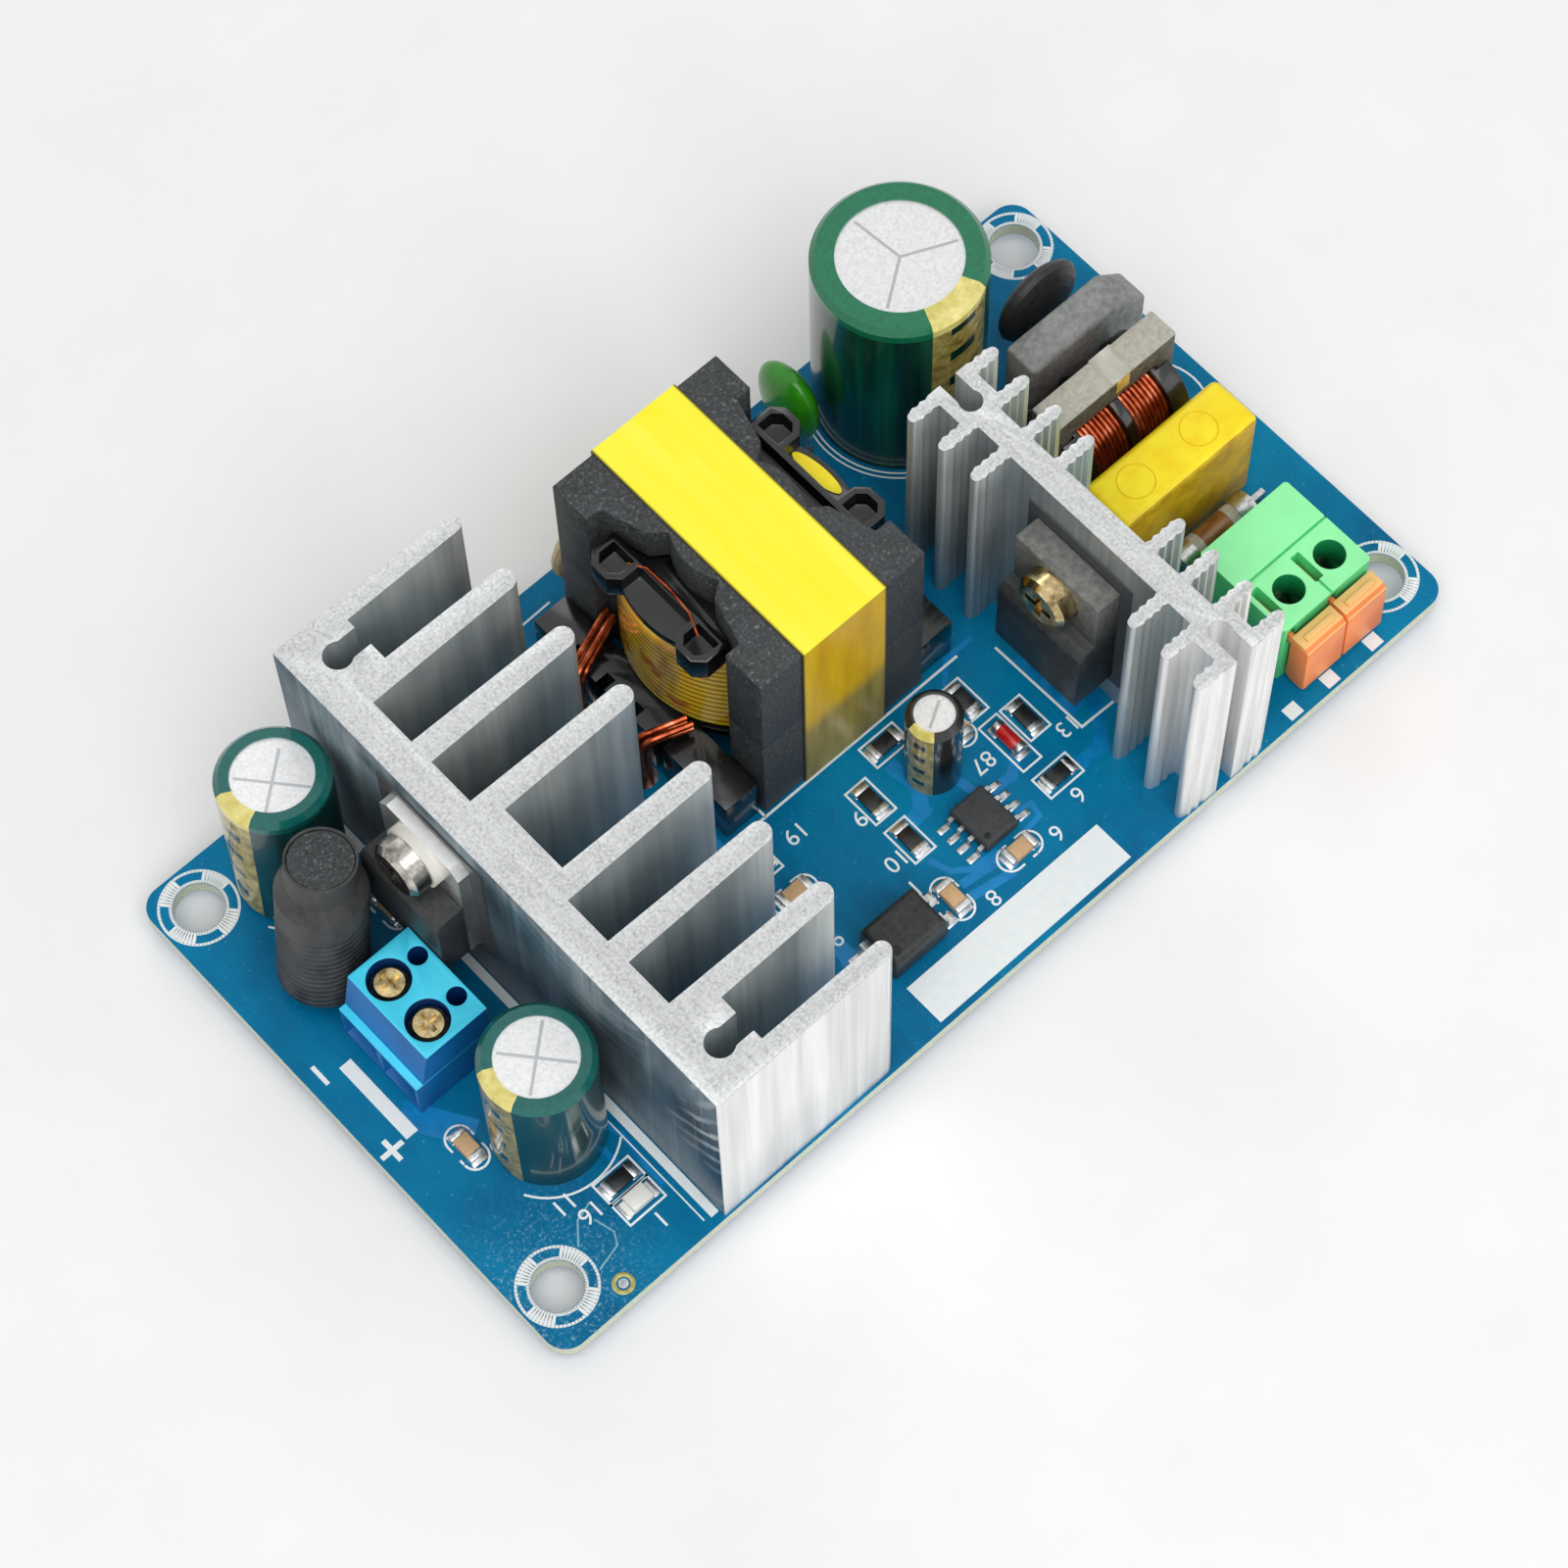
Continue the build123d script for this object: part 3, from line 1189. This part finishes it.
def thermistor():
    disc = Pos(NTC_X, NTC_Y, NTC_Z) * coated_disc(NTC_R, NTC_T)
    return dipped(disc, NTC_PINS, dip_grip(NTC_Z, NTC_R))


def y_capacitor():
    disc = Pos(YCAP_X, YCAP_Y, YCAP_Z) * coated_disc(YCAP_R, YCAP_T)
    return dipped(disc, YCAP_PINS, dip_grip(YCAP_Z, YCAP_R))


# Dipped film capacitor: oval sections that close towards the top and the bottom
def film_capacitor():
    rx, ry, rz = FILM_HALF
    body = loft([Pos(0, 0, up * rz) * Ellipse(rx * wide, ry * wide) for up, wide in FILM_SECTIONS])
    return dipped(Pos(FILM_X, FILM_Y, FILM_Z) * body, FILM_PINS, dip_grip(FILM_Z, rz))


# Fuse: tube between two cups, on bent wires
def fuse_tube():
    tube = Cylinder(FUSE_R - FUSE_CAP_T, FUSE_L - 2 * FUSE_CAP_T)
    return Pos(FUSE_X, FUSE_Y, FUSE_Z) * Rot(0, 90, 0) * tube


def fuse_caps():
    inner = FUSE_L / 2 - FUSE_CAP_T
    cup = Pos(0, 0, (FUSE_L - FUSE_CAP_L) / 2) * Cylinder(FUSE_R, FUSE_CAP_L)
    cup -= Cylinder(FUSE_R - FUSE_CAP_T, 2 * inner)
    place = Pos(FUSE_X, FUSE_Y, FUSE_Z)
    return group([place * Rot(0, 90, 0) * cup, place * Rot(0, -90, 0) * cup])


def fuse_wire(pin):
    x, y, width = pin
    half = width / 2
    side = math.copysign(1, x - FUSE_X)
    near = FUSE_X + side * FUSE_L / 2
    outer = x + side * half
    run = span(min(near, outer), max(near, outer), y - half, y + half, FUSE_Z - half, FUSE_Z + half)
    return run + lead(pin, FUSE_Z)


# Leads of the parts that stand on plain wires
def component_leads():
    leads = [lead(pin, TOP + PIN_GRIP) for pin in XCAP_PINS + CHOKE_PINS]
    leads += [lead(pin, BRIDGE_BOTTOM) for pin in BRIDGE_PINS]
    leads += [lead(pin, dip_grip(NTC_Z, NTC_R)) for pin in NTC_PINS]
    leads += [lead(pin, dip_grip(YCAP_Z, YCAP_R)) for pin in YCAP_PINS]
    leads += [lead(pin, dip_grip(FILM_Z, FILM_HALF[2])) for pin in FILM_PINS]
    leads += [lead(pin, TOP + ROD_LIFT / 2) for pin in ROD_PINS]
    leads += [fuse_wire(pin) for pin in FUSE_PINS]
    return group(leads)


# Moulded chip with bevelled sides, standing just off the board
def moulded_chip(x, y, size_x, size_y, height):
    body = span(x - size_x / 2, x + size_x / 2, y - size_y / 2, y + size_y / 2, TOP + CHIP_STANDOFF,
                TOP + CHIP_STANDOFF + height)
    return chamfer(body.edges().group_by(Axis.Z)[-1], height * 0.12)


def controller_chip():
    return moulded_chip(SO8_X, SO8_Y, SO8_W, SO8_L, SO8_H)


def optocoupler():
    return moulded_chip(OPTO_X, OPTO_Y, OPTO_L, OPTO_W, OPTO_H)


# Gull-wing lead drawn along +X from the chip's side, at the origin
def gull_lead(exit_z, width):
    t = CHIP_LEAD_T
    z = TOP
    knee = GULL_KNEE
    outline = (
        (0, exit_z), (knee + t, exit_z), (knee + 2 * t, z + t), (knee + 2 * t + GULL_FOOT, z + t),
        (knee + 2 * t + GULL_FOOT, z), (knee + t, z), (knee, exit_z - t), (0, exit_z - t),
    )
    return along_y(outline, -width / 2, width / 2)


def chip_leads():
    leads = []
    rows = (
        (SO8_X, SO8_Y, SO8_W, 4, SO8_PITCH, TOP + CHIP_STANDOFF + SO8_H / 2, SO8_LEAD_W),
        (OPTO_X, OPTO_Y, OPTO_L, 2, OPTO_PITCH, TOP + CHIP_STANDOFF + OPTO_H / 2, OPTO_LEAD_W),
    )
    for x, y, size, count, pitch, exit_z, width in rows:
        for _, py, _ in pins_along_y(x, y, count, pitch, width):
            for turn in (0, 180):
                leads.append(Pos(x, py) * Rot(0, 0, turn) * Pos(size / 2) * gull_lead(exit_z, width))
    return group(leads)


def small_block(x, y, turned, length, width, height):
    a, b = (width, length) if turned else (length, width)
    return span(x - a / 2, x + a / 2, y - b / 2, y + b / 2, TOP, TOP + height)


def chip_resistors():
    return group([small_block(x, y, turned, CHIP_L, CHIP_W, CHIP_H) for x, y, turned in CHIP_RESISTORS])


def chip_capacitors():
    return group([small_block(x, y, turned, CHIP_L, CHIP_W, CHIP_CAP_H) for x, y, turned in CHIP_CAPACITORS])


def indicator_led():
    body = small_block(*LED_PLACE, False, LED_L, LED_W, LED_H)
    return chamfer(body.edges().group_by(Axis.Z)[-1], LED_H / 5)


def glass_diode():
    x, y = MELF_PLACE
    return Pos(x, y, TOP + MELF_R) * Rot(90, 0, 0) * Cylinder(MELF_R, MELF_L)


def all_parts():
    bulk = bulk_parts()
    output = output_parts()
    small = small_parts()
    parts = {
        "circuit_board": circuit_board(),
        "dc_heatsink": dc_heatsink(),
        "ac_heatsink": ac_heatsink(),
        "heatsink_screws": heatsink_screws(),
        "rectifier_tab": rectifier_tab(),
        "rectifier_body": rectifier_body(),
        "rectifier_pad": rectifier_pad(),
        "rectifier_bushing": rectifier_bushing(),
        "rectifier_screw": rectifier_screw(),
        "transistor_body": transistor_body(),
        "transistor_pad": transistor_pad(),
        "transistor_screw": transistor_screw(),
        "device_leads": device_leads(),
        "core_lower": core_lower(),
        "core_upper": core_upper(),
        "core_tape": core_tape(),
        "transformer_bobbin": transformer_bobbin(),
        "transformer_pins": transformer_pins(),
        "transformer_winding": transformer_winding(),
        "winding_ends": winding_ends(),
        "bulk_capacitor_can": bulk[0],
        "bulk_capacitor_sleeve": bulk[1],
        "output_capacitor_cans": group(output[0]),
        "output_capacitor_sleeves": group(output[1]),
        "small_capacitor_can": small[0],
        "small_capacitor_sleeve": small[1],
        "capacitor_bungs": group([bulk[2], *output[2], small[2]]),
        "capacitor_leads": capacitor_leads(),
        "inductor_rod": inductor_rod(),
        "inductor_coil": inductor_coil(),
        "inductor_sleeve": inductor_sleeve(),
        "dc_terminal_housing": dc_terminal_housing(),
        "dc_terminal_contacts": dc_terminal_contacts(),
        "ac_terminal_housing": ac_terminal_housing(),
        "ac_terminal_springs": ac_terminal_springs(),
        "x_capacitor": x_capacitor(),
        "choke_core": choke_core(),
        "choke_bobbin": choke_bobbin(),
        "choke_windings": choke_windings(),
        "bridge_rectifier": bridge_rectifier(),
        "thermistor": thermistor(),
        "fuse_tube": fuse_tube(),
        "fuse_caps": fuse_caps(),
        "film_capacitor": film_capacitor(),
        "y_capacitor": y_capacitor(),
        "component_leads": component_leads(),
        "controller_chip": controller_chip(),
        "optocoupler": optocoupler(),
        "chip_leads": chip_leads(),
        "chip_resistors": chip_resistors(),
        "chip_capacitors": chip_capacitors(),
        "indicator_led": indicator_led(),
        "glass_diode": glass_diode(),
        "solder_joints": solder_joints(),
    }
    for number, pole_y in enumerate(DCT_POLES, start=1):
        parts[f"dc_screw_{number}"] = dc_screw(pole_y)
        parts[f"dc_clamp_{number}"] = dc_clamp(pole_y)
    for number, pole_x in enumerate(ACT_POLE_X, start=1):
        parts[f"ac_lever_{number}"] = ac_lever(pole_x)
    return parts


os.makedirs("parts", exist_ok=True)
for name, shape in all_parts().items():
    export_step(shape, f"parts/{name}.step")
    print(name, len(shape.solids()))
